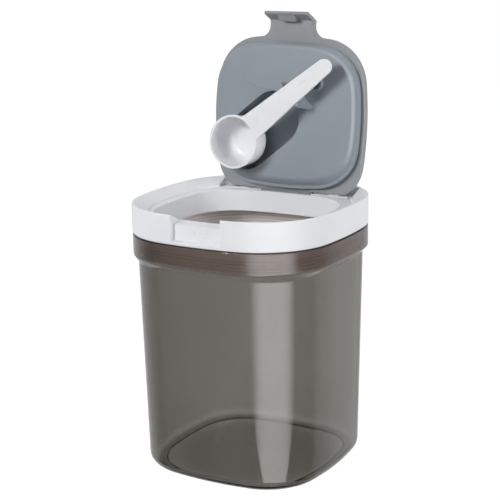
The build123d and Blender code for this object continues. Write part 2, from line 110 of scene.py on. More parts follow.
# below this height the skirt's inside is painted a brown shade, as if lit only through the smoke
# jar, in bands as far apart as the gasket's lips
SKIRT_SHADE_TOP = 127.9
FUNNEL_BOTTOM = 128.0
FUNNEL_WALL = 1.6
MOUTH_HALF = 44.9
MOUTH_EDGE = 0.5
MOUTH_FRONT = -44.3
MOUTH_BACK = 37.2
MOUTH_FRONT_CORNER = 21.0
MOUTH_BACK_CORNER = 26.0
NOTCH_HALF = 14.5
NOTCH_CHEEK = 1.8
NOTCH_FLOOR = 131.8
LIP_FACE = -54.1
LIP_BACK = -52.2
NOTCH_INNER = -43.3
BACKING_INSET = 0.9

# catch nubs for the hook, and pads that the open lid leans back onto
CATCH_Z = 137.0
CATCH_APART = 7.0
CATCH_WIDE = 3.0
CATCH_HIGH = 1.2
CATCH_RISE = 0.3
STOP_X = 28.0
STOP_WIDE = 6.0
STOP_Y = 43.4
STOP_DEEP = 2.0
STOP_TOP = 141.3

# flat shelf behind the hinge
SHELF_HALF = 42.0
SHELF_FRONT = 36.5
SHELF_BACK = 47.2

# jar
JAR_BASE_HALF = 51.55
JAR_TOP_HALF = 54.0
JAR_COLLAR_HALF = 57.4
SHOULDER_LOW = 114.4
SHOULDER_HIGH = 117.9
JAR_WALL = 2.1
JAR_FLOOR = 3.0
BASE_ROUND = 6.4
INNER_ROUND = 2.0
FOOT_HALF = 43.6
FOOT_DEPTH = 1.2
FOOT_LIP = 0.3
# the flat middle of the floor starts at this share of the foot's half width
FLAT_SHARE = 0.6
GATE_RADIUS = 4.0
GATE_DEPTH = 0.5

# gasket
GASKET_FIT = 0.05
GASKET_BORE = SKIRT_HALF + GASKET_FIT
GASKET_VALLEY = 54.3
GASKET_LIP = 55.15
GASKET_LIPS = 4
GASKET_LIP_STEP = 1.7
GASKET_LIP_START = 0.3
GASKET_FLANGE = 56.9
GASKET_FLANGE_THICK = 0.5

# hinge
EAR_IN = 15.8
EAR_OUT = 38.0
EAR_RADIUS = 1.0
KNUCKLE_HALF = 15.4
KNUCKLE_RADIUS = 1.35
KNUCKLE_GAP = 0.3
KNUCKLE_SLOT = 4.0
KNUCKLE_SLOT_FLOOR = 138.6
BORE_RADIUS = 0.65
WEB_ALONG = 3.5
WEB_OUTER = -3.4
WEB_START = 0.6
WEB_LAP = -0.45
WEB_BEND = -1.25

# lid, in its own plane: across, along from the hinge, height towards the inside
LID_HALF = 46.1
LID_NEAR = 1.6
LID_FAR = 86.7
# where the outline would end if the hinge edge didn't cut it off
LID_BACK = -6.1
LID_INNER = -0.8
LID_OUTER = -5.3
PAN_FLOOR = -3.8
PLUG_FIT = 0.05
LID_ROUND = 1.4
NECK_HALF = 12.9
NECK_FLARE = 6.5
NECK_ROOT_HALF = 26.0
NECK_LAP = 0.45
TAB_HALF = 13.1
TAB_NEAR = 95.0
TAB_FAR = 98.3
TAB_TIP = 6.6
TAB_THICK = 1.9
TAB_LAP = 1.0
TAB_ROUND = 0.9
HOOK_HALF = 5.2
HOOK_REACH = 94.4
HOOK_LOW = 3.3
HOOK_HIGH = 3.8
HOOK_RAMP = 5.9
HOOK_ROOT = 0.5

# plug: half width, near edge and far edge at three heights
PLUG_ROOT = (43.2, 4.3, 82.4)
PLUG_SHOULDER = (43.9, 5.2, 83.0)
PLUG_FACE_EDGE = (42.9, 8.0, 82.0)
PLUG_BASE = -3.6
SEAL_HIGH = 3.4
SEAL_LOW = -0.3
PLUG_FACE = 6.7
SEAL_EDGE = (44.1, 3.4, 83.2)
SEAL_FIT = 0.05
SEAL_GROOVE = 0.35

# scoop, pocket and clip
BOWL_X = -23.7
BOWL_ALONG = 28.5
HANDLE_ANGLE = math.radians(38.5)
BOWL_RIM = 19.7
BOWL_RADIUS = 14.8
BOWL_BASE_RADIUS = 13.2
BOWL_DEPTH = 18.0
BOWL_WALL = 1.2
BOWL_ROUND = 6.5
HANDLE_LENGTH = 69.0
HANDLE_ROOT = 11.0
HANDLE_ROOT_HALF = 7.5
HANDLE_TIP_RADIUS = 4.2
HANDLE_THICK = 2.0
# places along the handle: through the flare at the bowl, then down the straight taper
HANDLE_STATIONS = (11.6, 12.4, 13.2, 14.0, 14.8, 20, 32, 44, 56)
FLARE_END = 14.9
FLARE_LENGTH = 3.5
FLARE_WIDE = 1.1
# arc where the handle starts, inside the bowl's wall
ROOT_RADIUS = 14.2
ROOT_TURN = 0.62
POCKET_RADIUS = 15.2
POCKET_END = (-5.2, 41.6)
POCKET_LENGTH = 23.0
POCKET_FLOOR = -1.6
CLIP_AT = 44.0
CLIP_TILT = math.radians(6.0)
CLIP_THICK = 1.8
# half widths of the cradle inside its prongs, outside them, and at the gusset's foot
CLIP_IN = 6.27
CLIP_OUT = 7.97
CLIP_FOOT = 11.07
CLIP_LIP = 0.3
CLIP_GAP = 0.3
CLIP_TOP = 20.9
POST_AT = (20.5, 62.0)
POST_RADIUS = 3.9
POST_BORE = 3.1
POST_TOP = 9.5
POST_HOLLOW = 0.6

# steps along half a side and a corner of an outline, a profile's corner and a slot's end
SIDE_STEPS = 9
CORNER_STEPS = 18
ARC_STEPS = 6
SLOT_STEPS = 24

# insets at which the flat middle of the cover's and the plug's faces starts
COVER_MIDDLE = 12
PLUG_MIDDLE = 8

# bevels, and the turns past which an edge is bevelled or stays sharp in the shading
COLLAR_EDGE = 0.25
PIECE_EDGE = 0.3
EDGE_ANGLE = math.radians(40)
SHARP_ANGLE = math.radians(30)

# ---------------------------------------------------------------- places
hinge = Vector(joint("lid_hinge")["pos_m"])
lid_normal = Vector(joint("scoop_release")["axis"]).normalized()
across = Vector((1, 0, 0))
lid_along = lid_normal.cross(across)


def place(origin, x_axis, y_axis, z_axis):
    """Matrix that takes millimetres in a local plane to metres in the frame."""
    turn = Matrix((x_axis, y_axis, z_axis)).transposed().to_4x4()
    return Matrix.Translation(origin) @ turn @ Matrix.Scale(MM, 4)


FRAME_PLACE = Matrix.Scale(MM, 4)
LID_PLACE = place(hinge, across, lid_along, lid_normal)
# scoop's own axes in the lid's plane: along its handle, across it, and the height
TO_HANDLE = Matrix.Translation((BOWL_X, BOWL_ALONG, 0)) @ Matrix.Rotation(HANDLE_ANGLE, 4, "Z")
SCOOP_PLACE = LID_PLACE @ TO_HANDLE


# ---------------------------------------------------------------- outlines and profiles
def quarter(half_x, half_y, bow, corner):
    """Quarter of a bowed square, from the middle of its +X side to the middle of its +Y side."""
    side_x = ((half_y - bow) ** 2 + bow**2) / (2 * bow)
    side_y = ((half_x - bow) ** 2 + bow**2) / (2 * bow)
    middle_x = np.array([half_x - side_x, 0.0])
    middle_y = np.array([0.0, half_y - side_y])
    reach_x = side_x - corner
    reach_y = side_y - corner
    gap = middle_y - middle_x
    apart = np.linalg.norm(gap)
    gap /= apart
    along = (reach_x**2 - reach_y**2 + apart**2) / (2 * apart)
    up = math.sqrt(reach_x**2 - along**2)
    centre = middle_x + gap * along + np.array([-gap[1], gap[0]]) * up
    start = math.atan2(*(centre - middle_x)[::-1])
    end = math.atan2(*(centre - middle_y)[::-1])
    arcs = (
        (middle_x, side_x, np.linspace(0, start, SIDE_STEPS, endpoint=False)),
        (centre, corner, np.linspace(start, end, CORNER_STEPS, endpoint=False)),
        (middle_y, side_y, np.linspace(end, math.pi / 2, SIDE_STEPS + 1)),
    )
    return np.vstack(
        [c + r * np.column_stack((np.cos(t), np.sin(t))) for c, r, t in arcs]
    )


def bowed_square(half_x, half_y, bow, corner, front_corner=None):
    """Square with bowed sides and round corners, anticlockwise from the middle of its +X side."""
    back = quarter(half_x, half_y, bow, corner)
    front = quarter(half_x, half_y, bow, front_corner or corner)
    return np.vstack(
        (
            back[:-1],
            (back * (-1, 1))[::-1][:-1],
            (front * (-1, -1))[:-1],
            (front * (1, -1))[::-1][:-1],
        )
    )


def level(outline, height):
    """An outline as a loop of points at one height."""
    return np.column_stack((outline, np.full(len(outline), height)))


def ring_loop(half, z):
    return level(bowed_square(half, half, half * RING_BOW, half * RING_CORNER), z)


def jar_loop(half, z):
    """The jar's outline, which turns into the collar ring's over the shoulder."""
    share = min(1.0, max(0.0, (z - SHOULDER_LOW) / (SHOULDER_HIGH - SHOULDER_LOW)))
    share = share * share * (3 - 2 * share)
    bow = JAR_BOW + (RING_BOW - JAR_BOW) * share
    corner = JAR_CORNER + (RING_CORNER - JAR_CORNER) * share
    return level(bowed_square(half, half, half * bow, half * corner), z)


def mouth_loop(grow, z):
    half_y = (MOUTH_BACK - MOUTH_FRONT) / 2 + grow
    outline = bowed_square(
        MOUTH_HALF + grow,
        half_y,
        MOUTH_HALF * LID_BOW,
        MOUTH_BACK_CORNER + grow,
        MOUTH_FRONT_CORNER + grow,
    )
    outline[:, 1] += (MOUTH_BACK + MOUTH_FRONT) / 2
    return level(outline, z)


def lid_loop(half, near, far, height, cut=None):
    """Outline in the lid's plane. With a cut, its hinge side is a straight edge there."""
    outline = bowed_square(half, (far - near) / 2, half * LID_BOW, half * LID_CORNER)
    outline[:, 1] += (near + far) / 2
    if cut is not None:
        past = outline[:, 1] - cut
        outline[:, 1] = cut + (past + np.sqrt(past**2 + CUT_BLEND**2)) / 2
    return level(outline, height)


def rounded(corners, closed=False):
    """A profile's points, with each corner (u, v, radius) turned into an arc."""
    points = []
    for i, (u, v, radius) in enumerate(corners):
        here = np.array([u, v], float)
        if radius == 0 or (not closed and i in (0, len(corners) - 1)):
            points.append(here)
            continue
        before = np.array(corners[i - 1][:2], float) - here
        after = np.array(corners[(i + 1) % len(corners)][:2], float) - here
        before /= np.linalg.norm(before)
        after /= np.linalg.norm(after)
        half_angle = math.acos(float(np.clip(before @ after, -1, 1))) / 2
        bisector = (before + after) / np.linalg.norm(before + after)
        centre = here + bisector * radius / math.sin(half_angle)
        first = here + before * radius / math.tan(half_angle) - centre
        last = here + after * radius / math.tan(half_angle) - centre
        sweep = math.pi - 2 * half_angle
        for t in np.linspace(0, 1, ARC_STEPS + 1):
            weight = math.sin((1 - t) * sweep) * first + math.sin(t * sweep) * last
            points.append(centre + weight / math.sin(sweep))
    return points


def circle(radius, steps=64, centre=(0, 0)):
    turn = np.linspace(0, 2 * math.pi, steps, endpoint=False)
    return np.column_stack((np.cos(turn), np.sin(turn))) * radius + np.array(centre)


# ---------------------------------------------------------------- meshes
def skin(name, loops, wrap=False):
    """A closed mesh through matching loops. Unless it wraps round, each end is capped."""
    count = len(loops[0])
    faces = []
    for i in range(len(loops) if wrap else len(loops) - 1):
        low = i * count
        high = (i + 1) % len(loops) * count
        for j in range(count):
            k = (j + 1) % count
            faces.append((low + j, low + k, high + k, high + j))
    if not wrap:
        faces.append(tuple(range(count))[::-1])
        faces.append(tuple(range((len(loops) - 1) * count, len(loops) * count)))
    mesh = bpy.data.meshes.new(name)
    mesh.from_pydata(np.vstack(loops).tolist(), [], faces)
    work = bmesh.new()
    work.from_mesh(mesh)
    bmesh.ops.recalc_face_normals(work, faces=work.faces)
    work.to_mesh(mesh)
    work.free()
    obj = bpy.data.objects.new(name, mesh)
    bpy.context.scene.collection.objects.link(obj)
    return obj


def upright(name, outline, low, high):
    """An outline pushed straight up from one height to another."""
    outline = np.array(outline)
    return skin(name, [level(outline, low), level(outline, high)])


def sideways(name, outline, half, centre=0.0):
    """An outline of (along, height) points pushed across, to half a width each side."""
    outline = np.array(outline)
    ends = (centre - half, centre + half)
    return skin(name, [np.column_stack((np.full(len(outline), x), outline)) for x in ends])


def block(name, low, high):
    """Box between two corners."""
    plan = [(low[0], low[1]), (high[0], low[1]), (high[0], high[1]), (low[0], high[1])]
    return upright(name, plan, low[2], high[2])


def brick(name, low, size):
    """Box of a size, from its low corner."""
    return block(name, low, [start + length for start, length in zip(low, size)])


def bake(obj):
    """Applies an object's modifiers to its mesh."""
    graph = bpy.context.evaluated_depsgraph_get()
    mesh = bpy.data.meshes.new_from_object(obj.evaluated_get(graph))
    old = obj.data
    obj.modifiers.clear()
    obj.data = mesh
    bpy.data.meshes.remove(old)


def combine(obj, tool, operation):
    """Adds a tool to a mesh or cuts it away from one, and then throws the tool away."""
    modifier = obj.modifiers.new("combine", "BOOLEAN")
    modifier.operation = operation
    modifier.solver = "EXACT"
    modifier.object = tool
    bake(obj)
    bpy.data.objects.remove(tool)


def join(obj, *tools):
    for tool in tools:
        combine(obj, tool, "UNION")


def cut(obj, *tools):
    for tool in tools:
        combine(obj, tool, "DIFFERENCE")


def soften(obj, width):
    """Rounds the sharp edges a little, and shades the rest smooth."""
    if width:
        modifier = obj.modifiers.new("soften", "BEVEL")
        modifier.width = width
        modifier.segments = 3
        modifier.limit_method = "ANGLE"
        modifier.angle_limit = EDGE_ANGLE
        modifier.use_clamp_overlap = True
        bake(obj)
    obj.data.shade_smooth()
    obj.data.set_sharp_from_angle(angle=SHARP_ANGLE)
    modifier = obj.modifiers.new("normals", "WEIGHTED_NORMAL")
    modifier.keep_sharp = True
    bake(obj)


def finish_piece(obj, where, node, body, material):
    """Sets a mesh down in the frame, in place of its CAD node."""
    obj.data.transform(where)
    obj.data.materials.clear()
    obj.data.materials.append(material)
    obj.name = f"{node}_shell"
    obj.data.name = obj.name
    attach(obj, body)
    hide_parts(node)


# ---------------------------------------------------------------- materials
# bands per metre of a wave texture, for each unit of its scale
WAVES_PER_SCALE = 3.2
# per metre, so the smoke's colour is what is left of white after a millimetre
ABSORPTION = 1000.0


def new_material(name):
    material = bpy.data.materials.new(name)
    material.use_nodes = True
    nodes = material.node_tree.nodes
    nodes.clear()
    shader = nodes.new("ShaderNodeBsdfPrincipled")
    output = nodes.new("ShaderNodeOutputMaterial")
    material.node_tree.links.new(shader.outputs["BSDF"], output.inputs["Surface"])
    return material, shader, output


def noise(tree, place_from, scale, detail=3.0):
    """Noise in the object's own space. Scale is in cells per metre."""
    node = tree.nodes.new("ShaderNodeTexNoise")
    node.inputs["Scale"].default_value = scale
    node.inputs["Detail"].default_value = detail
    tree.links.new(place_from, node.inputs["Vector"])
    return node.outputs["Fac"]


def spread(tree, value, low, high, from_low=0.3, from_high=0.7):
    node = tree.nodes.new("ShaderNodeMapRange")
    node.inputs["From Min"].default_value = from_low
    node.inputs["From Max"].default_value = from_high
    node.inputs["To Min"].default_value = low
    node.inputs["To Max"].default_value = high
    tree.links.new(value, node.inputs["Value"])
    return node.outputs["Result"]


def mix_colour(tree, share, first, second):
    node = tree.nodes.new("ShaderNodeMix")
    node.data_type = "RGBA"
    node.inputs["A"].default_value = (*first, 1)
    node.inputs["B"].default_value = (*second, 1)
    tree.links.new(share, node.inputs["Factor"])
    return node.outputs["Result"]


def bump(tree, height, strength, distance):
    node = tree.nodes.new("ShaderNodeBump")
    node.inputs["Strength"].default_value = strength
    node.inputs["Distance"].default_value = distance
    tree.links.new(height, node.inputs["Height"])
    return node.outputs["Normal"]


def ribs(tree, where):
    """Level bands as far apart as the gasket's lips."""
    wave = tree.nodes.new("ShaderNodeTexWave")
    wave.bands_direction = "Z"
    wave.inputs["Scale"].default_value = 1 / (GASKET_LIP_STEP * MM * WAVES_PER_SCALE)
    wave.inputs["Distortion"].default_value = 0.4
    tree.links.new(where, wave.inputs["Vector"])
    return wave.outputs["Fac"]


def past_height(tree, where, height, reach):
    """Goes from 0 to 1 where the object's own Z passes a height, over a reach, in metres."""
    split = tree.nodes.new("ShaderNodeSeparateXYZ")
    tree.links.new(where, split.inputs["Vector"])
    return spread(tree, split.outputs["Z"], 0, 1, height, height + reach)


def blend(tree, share, first, second):
    """Mixes two colour outputs by a share."""
    node = tree.nodes.new("ShaderNodeMix")
    node.data_type = "RGBA"
    tree.links.new(share, node.inputs["Factor"])
    tree.links.new(first, node.inputs["A"])
    tree.links.new(second, node.inputs["B"])
    return node.outputs["Result"]


def plastic(name, colour, rough, mottle=0.03, grain=0.06, gloss=0.5, step=None):
    """Moulded plastic: faint cloudy colour, uneven gloss and a fine spark-eroded grain.

    A step (height, reach, dark, light) gives it a second colour beyond a height.
    """
    material, shader, _ = new_material(name)
    tree = material.node_tree
    where = tree.nodes.new("ShaderNodeTexCoord").outputs["Object"]
    cloud = spread(tree, noise(tree, where, 45), 0, 1)
    darker = tuple(c * (1 - mottle) for c in colour)
    lighter = tuple(min(1.0, c * (1 + mottle)) for c in colour)
    tone = mix_colour(tree, cloud, darker, lighter)
    if step:
        height, reach, dark, light = step
        other = mix_colour(tree, spread(tree, ribs(tree, where), 0, 1), dark, light)
        tone = blend(tree, past_height(tree, where, height, reach), tone, other)
    tree.links.new(tone, shader.inputs["Base Color"])
    patch = spread(tree, noise(tree, where, 160, 4), rough * 0.85, rough * 1.15)
    tree.links.new(patch, shader.inputs["Roughness"])
    pores = noise(tree, where, 3200, 2)
    tree.links.new(bump(tree, pores, grain, 0.0001), shader.inputs["Normal"])
    shader.inputs["Specular IOR Level"].default_value = gloss
    return material


def smoke_plastic():
    """Clear smoke-grey plastic that darkens with the thickness looked through."""
    material, shader, output = new_material("smoke_clear_plastic")
    tree = material.node_tree
    where = tree.nodes.new("ShaderNodeTexCoord").outputs["Object"]
    shader.inputs["Transmission Weight"].default_value = 1.0
    shader.inputs["IOR"].default_value = 1.49
    cloud = spread(tree, noise(tree, where, 30), 0, 1)
    tint = mix_colour(tree, cloud, (0.93, 0.925, 0.915), (0.97, 0.965, 0.955))
    tree.links.new(tint, shader.inputs["Base Color"])
    tree.links.new(spread(tree, noise(tree, where, 120, 4), 0.03, 0.05), shader.inputs["Roughness"])
    flow = noise(tree, where, 60, 2)
    tree.links.new(bump(tree, flow, 0.05, 0.0005), shader.inputs["Normal"])
    smoke = tree.nodes.new("ShaderNodeVolumeAbsorption")
    smoke.inputs["Color"].default_value = (0.622, 0.612, 0.592, 1)
    smoke.inputs["Density"].default_value = ABSORPTION
    tree.links.new(smoke.outputs["Volume"], output.inputs["Volume"])
    return material


def drawn_steel():
    material, shader, _ = new_material("drawn_steel")
    tree = material.node_tree
    where = tree.nodes.new("ShaderNodeTexCoord").outputs["Object"]
    stretch = tree.nodes.new("ShaderNodeMapping")
    stretch.inputs["Scale"].default_value = (0.02, 1, 1)
    tree.links.new(where, stretch.inputs["Vector"])
    lines = noise(tree, stretch.outputs["Vector"], 5000, 3)
    colour = mix_colour(tree, lines, (0.5, 0.5, 0.5), (0.66, 0.66, 0.65))
    tree.links.new(colour, shader.inputs["Base Color"])
    tree.links.new(spread(tree, lines, 0.25, 0.4), shader.inputs["Roughness"])
    shader.inputs["Metallic"].default_value = 1.0
    return material


def white_plastic():
    """White collar. Its skirt below the funnel is painted a brown shade, as if lit only through the
    smoke jar, in bands as far apart as the gasket's lips.
    """
    shade_brown = (0.56, 0.50, 0.495)
    pale_shade_brown = (0.70, 0.64, 0.63)
    return plastic(
        "white_collar_plastic",
        colour=(0.762, 0.772, 0.80),
        rough=0.42,
        mottle=0.012,
        grain=0.04,
        gloss=0.14,
        # painted shade: below this height the skirt's inside turns a darker, banded brown
        step=(SKIRT_SHADE_TOP * MM, -0.0004, shade_brown, pale_shade_brown),
    )


def scoop_plastic():
    return plastic(
        "white_scoop_plastic",
        colour=(0.785, 0.795, 0.82),
        rough=0.3,
        mottle=0.012,
        grain=0.03,
        gloss=0.35,
    )


def lid_plastic():
    return plastic(
        "grey_lid_plastic", colour=(0.272, 0.283, 0.297), rough=0.38, grain=0.07, gloss=0.25
    )


def plug_plastic():
    return plastic(
        "blue_grey_plug_plastic", colour=(0.25, 0.283, 0.32), rough=0.42, grain=0.07, gloss=0.35
    )


def seal_silicone():
    return plastic(
        "seal_silicone", colour=(0.245, 0.285, 0.325), rough=0.5, grain=0.03, gloss=0.3
    )


def gasket_silicone():
    """Brown silicone. Its flange above the jar's rim is painted near black, as painted shade in the
    narrow gap under the collar ring.
    """
    gap_shade_black = (0.05, 0.045, 0.045)
    gap_shade_brown_black = (0.06, 0.05, 0.05)
    return plastic(
        "gasket_silicone",
        colour=(0.60, 0.48, 0.465),
        rough=0.5,
        grain=0.03,
        gloss=0.3,
        # painted shade: the flange above the jar's rim, in the gap under the ring, is near black
        step=(JAR_RIM * MM, 0.0001, gap_shade_black, gap_shade_brown_black),
    )


WHITE = white_plastic()
SCOOP_WHITE = scoop_plastic()
LID_GREY = lid_plastic()
PLUG_BLUE = plug_plastic()
SEAL_BLUE = seal_silicone()
GASKET_BROWN_AND_SHADE = gasket_silicone()
SMOKE = smoke_plastic()
STEEL = drawn_steel()


# ---------------------------------------------------------------- jar
def make_jar():
    inner_base = JAR_BASE_HALF - JAR_WALL
    inner_top = JAR_TOP_HALF - JAR_WALL
    inner_collar = JAR_COLLAR_HALF - JAR_WALL
    profile = rounded(
        [
            (FOOT_HALF * FLAT_SHARE, FOOT_DEPTH, 0),
            (FOOT_HALF, FOOT_DEPTH, 0.5),
            (FOOT_HALF + FOOT_LIP, 0, 0.3),
            (JAR_BASE_HALF, 0, BASE_ROUND),
            (JAR_TOP_HALF, SHOULDER_LOW, 2.0),
            (JAR_COLLAR_HALF, SHOULDER_HIGH, 1.2),
            (JAR_COLLAR_HALF, JAR_RIM, 0.5),
            (inner_collar, JAR_RIM, 0.5),
            (inner_collar, SHOULDER_HIGH, 1.5),
            (inner_top, SHOULDER_LOW, 2.0),
            (inner_base, JAR_FLOOR, INNER_ROUND),
            (FOOT_HALF * FLAT_SHARE, JAR_FLOOR, 0),
        ]
    )
    jar = skin("jar", [jar_loop(half, z) for half, z in profile])
    cut(jar, upright("gate", circle(GATE_RADIUS), -FOOT_DEPTH, FOOT_DEPTH + GATE_DEPTH))
    soften(jar, 0)
    finish_piece(jar, FRAME_PLACE, "jar", "base", SMOKE)


# ---------------------------------------------------------------- collar ring
def make_collar_ring():
    ring = rounded(
        [
            (SEAT_INNER, SEAT_Z, 0),
            (SEAT_HALF, SEAT_Z, 0.3),
            (STEP_HALF, STEP_Z, 0.25),
            (DISH_LOW_HALF, DISH_LOW_Z, 0.4),
            (DISH_TOP_HALF, RING_TOP, 0.6),
            (RING_HALF, RING_TOP, 0.5),
            (RING_HALF, RING_BOTTOM, 0.5),
            (RING_HALF - RING_WALL, RING_BOTTOM, 0.3),
            (RING_HALF - RING_WALL, TRAY_UNDER, 0.6),
            (SKIRT_HALF, TRAY_UNDER, 0.6),
            (SKIRT_HALF, SKIRT_BOTTOM + SKIRT_BEAD, 0.2),
            (SKIRT_HALF + SKIRT_BEAD, SKIRT_BOTTOM + SKIRT_BEAD, 0.2),
            (SKIRT_HALF + SKIRT_BEAD, SKIRT_BOTTOM, 0.4),
            (SKIRT_INNER, SKIRT_BOTTOM, 0.3),
            (SKIRT_INNER, TRAY_UNDER, 0),
        ]
    )
    mouth = rounded(
        [
            (FUNNEL_WALL, TRAY_UNDER, 0),
            (FUNNEL_WALL, FUNNEL_BOTTOM, 0.5),
            (0, FUNNEL_BOTTOM, 0.5),
            (0, SEAT_Z, MOUTH_EDGE),
            (FUNNEL_WALL, SEAT_Z, 0),
        ]
    )
    loops = [ring_loop(half, z) for half, z in ring] + [mouth_loop(g, z) for g, z in mouth]
    collar = skin("collar", loops, wrap=True)
    # solid behind the latch notch, then the notch itself with its low lip
    cheek = NOTCH_HALF + NOTCH_CHEEK
    backing_low = (-cheek, -RING_HALF + BACKING_INSET, RING_BOTTOM + 0.2)
    join(collar, block("backing", backing_low, (cheek, LIP_BACK, SEAT_Z - 0.4)))
    outside = -RING_HALF - 3
    step = [
        (outside, RING_TOP + 2),
        (outside, NOTCH_FLOOR),
        (LIP_FACE, NOTCH_FLOOR),
        (LIP_FACE, SEAT_Z),
        (NOTCH_INNER, SEAT_Z),
        (NOTCH_INNER, RING_TOP + 2),
    ]
    cut(collar, sideways("notch", step, NOTCH_HALF))
    # shelf, ears and knuckle's room for the hinge
    hinge_y = hinge.y / MM
    hinge_z = hinge.z / MM
    shelf_low = (-SHELF_HALF, SHELF_FRONT, SEAT_Z)
    cut(collar, block("shelf", shelf_low, (SHELF_HALF, SHELF_BACK, RING_TOP + 2)))
    ear_half = (EAR_OUT - EAR_IN) / 2
    for side in (-1, 1):
        ear = circle(EAR_RADIUS, 40, (hinge_y, hinge_z))
        join(collar, sideways("ear", ear, ear_half, side * (EAR_IN + ear_half)))
    room = circle(KNUCKLE_RADIUS + KNUCKLE_GAP, 48, (hinge_y, hinge_z))
    cut(collar, sideways("knuckle_room", room, EAR_IN))
    slot_low = (-EAR_IN, hinge_y, KNUCKLE_SLOT_FLOOR)
    cut(collar, block("web_room", slot_low, (EAR_IN, hinge_y + KNUCKLE_SLOT, RING_TOP)))
    bore = circle(BORE_RADIUS, 24, (hinge_y, hinge_z))
    cut(collar, sideways("bore", bore, EAR_OUT, EAR_OUT - edge("hinge_pin", 1, 0)))
    # catch nubs on the lip, and pads that the open lid leans back onto
    catch_size = (CATCH_WIDE, CATCH_RISE + 1, CATCH_HIGH)
    catch_y = LIP_FACE - CATCH_RISE
    stop_size = (STOP_WIDE, STOP_DEEP, STOP_TOP - SEAT_Z + 1)
    stop_y = STOP_Y - STOP_DEEP / 2
    for side in (-1, 1):
        catch_x = side * CATCH_APART / 2 - CATCH_WIDE / 2
        catch = brick("catch", (catch_x, catch_y, CATCH_Z - CATCH_HIGH / 2), catch_size)
        stop_x = side * STOP_X - STOP_WIDE / 2
        stop = brick("stop", (stop_x, stop_y, SEAT_Z - 1), stop_size)
        join(collar, catch, stop)
    soften(collar, COLLAR_EDGE)
    finish_piece(collar, FRAME_PLACE, "collar_ring", "collar", WHITE)


# ---------------------------------------------------------------- gasket
def make_gasket():
    low = edge("jar_gasket", 0, 2)
    top = edge("jar_gasket", 1, 2)
    under = top - GASKET_FLANGE_THICK
    corners = [
        (GASKET_BORE, low, 0.1),
        (GASKET_VALLEY, low, 0.2),
    ]
    for i in range(GASKET_LIPS):
        base = low + GASKET_LIP_STEP * (i + GASKET_LIP_START)
        corners += [
            (GASKET_VALLEY, base, 0.15),
            (GASKET_LIP, base + 0.1, 0.2),
            (GASKET_LIP, base + 0.6, 0.2),
            (GASKET_VALLEY, base + 0.8, 0.15),
        ]
    corners += [
        (GASKET_VALLEY, under, 0.2),
        (GASKET_FLANGE, under, 0.1),
        (GASKET_FLANGE, top, 0.1),
        (GASKET_BORE, top, 0.1),
    ]
    gasket = skin("gasket", [ring_loop(h, z) for h, z in rounded(corners, True)], wrap=True)
    soften(gasket, 0)
    finish_piece(gasket, FRAME_PLACE, "jar_gasket", "collar", GASKET_BROWN_AND_SHADE)


# ---------------------------------------------------------------- lid cover
def cover_loop(inset, height):
    return lid_loop(
        LID_HALF - inset, LID_BACK + inset, LID_FAR - inset, height, LID_NEAR + inset
    )


def make_lid_cover():
    profile = rounded(
        [
            (COVER_MIDDLE, LID_OUTER, 0),
            (0, LID_OUTER, LID_ROUND),
            (0, LID_INNER, 0.45),
            (1.2, LID_INNER, 0),
        ]
    )
    loops = [cover_loop(inset, height) for inset, height in profile]
    # the inner face runs in to the recess that holds the plug
    recess = ((-PLUG_FIT, LID_INNER), (-PLUG_FIT, PAN_FLOOR), (PLUG_MIDDLE, PAN_FLOOR))
    loops += [plug_loop(inset, height) for inset, height in recess]
    cover = skin("cover", loops)
    # neck, flared into the lid's front edge
    plan = rounded(
        [
            (NECK_HALF, TAB_NEAR - 0.5, 0),
            (NECK_HALF, LID_FAR - NECK_LAP, NECK_FLARE),
            (NECK_ROOT_HALF, LID_FAR - 2, 0),
            (NECK_ROOT_HALF, LID_FAR - 4, 0),
            (-NECK_ROOT_HALF, LID_FAR - 4, 0),
            (-NECK_ROOT_HALF, LID_FAR - 2, 0),
            (-NECK_HALF, LID_FAR - NECK_LAP, NECK_FLARE),
            (-NECK_HALF, TAB_NEAR - 0.5, 0),
        ],
        closed=True,
    )
    # latch tab, bent over at the end of the neck and slanting outwards, with its inner hook
    slant = math.atan2(TAB_FAR - TAB_NEAR, TAB_TIP - LID_INNER)
    out_along = TAB_THICK * math.cos(slant)
    out_down = TAB_THICK * math.sin(slant)
    tab = rounded(
        [
            (TAB_NEAR - TAB_LAP, LID_INNER, 0),
            (TAB_NEAR - TAB_LAP, LID_OUTER, 0),
            (TAB_NEAR, LID_OUTER, 0.5),
            (TAB_NEAR + out_along, LID_INNER - out_down, 3.0),
            (TAB_FAR + out_along, TAB_TIP - out_down, TAB_ROUND),
            (TAB_FAR, TAB_TIP, TAB_ROUND),
            (TAB_NEAR, LID_INNER, 0.4),
        ]
    )
    hook_low = TAB_NEAR + (HOOK_LOW - LID_INNER) * math.tan(slant) + HOOK_ROOT
    hook_ramp = TAB_NEAR + (HOOK_RAMP - LID_INNER) * math.tan(slant) + HOOK_ROOT
    hook = rounded(
        [
            (hook_low, HOOK_LOW - 0.7, 0),
            (HOOK_REACH, HOOK_LOW, 0.3),
            (HOOK_REACH, HOOK_HIGH, 0.3),
            (hook_ramp, HOOK_RAMP, 0),
        ]
    )
    join(
        cover,
        upright("neck", plan, LID_OUTER, LID_INNER),
        sideways("tab", tab, TAB_HALF),
        sideways("hook", hook, HOOK_HALF),
    )
    # knuckle, with its web and bore
    web = [
        (0, LID_INNER),
        (WEB_LAP, LID_INNER),
        (WEB_LAP, WEB_BEND),
        (WEB_START, WEB_OUTER),
        (WEB_ALONG, WEB_OUTER),
        (WEB_ALONG, LID_INNER),
    ]
    knuckle = sideways("knuckle", circle(KNUCKLE_RADIUS, 48), KNUCKLE_HALF)
    join(knuckle, sideways("web", web, KNUCKLE_HALF))
    cut(knuckle, sideways("bore", circle(BORE_RADIUS, 24), KNUCKLE_HALF + 1))
    join(cover, knuckle)
    soften(cover, PIECE_EDGE)
    finish_piece(cover, LID_PLACE, "lid_cover", "lid", LID_GREY)


# ---------------------------------------------------------------- plug and seal
def blend_edges(first, second, share):
    return tuple(a + (b - a) * share for a, b in zip(first, second))


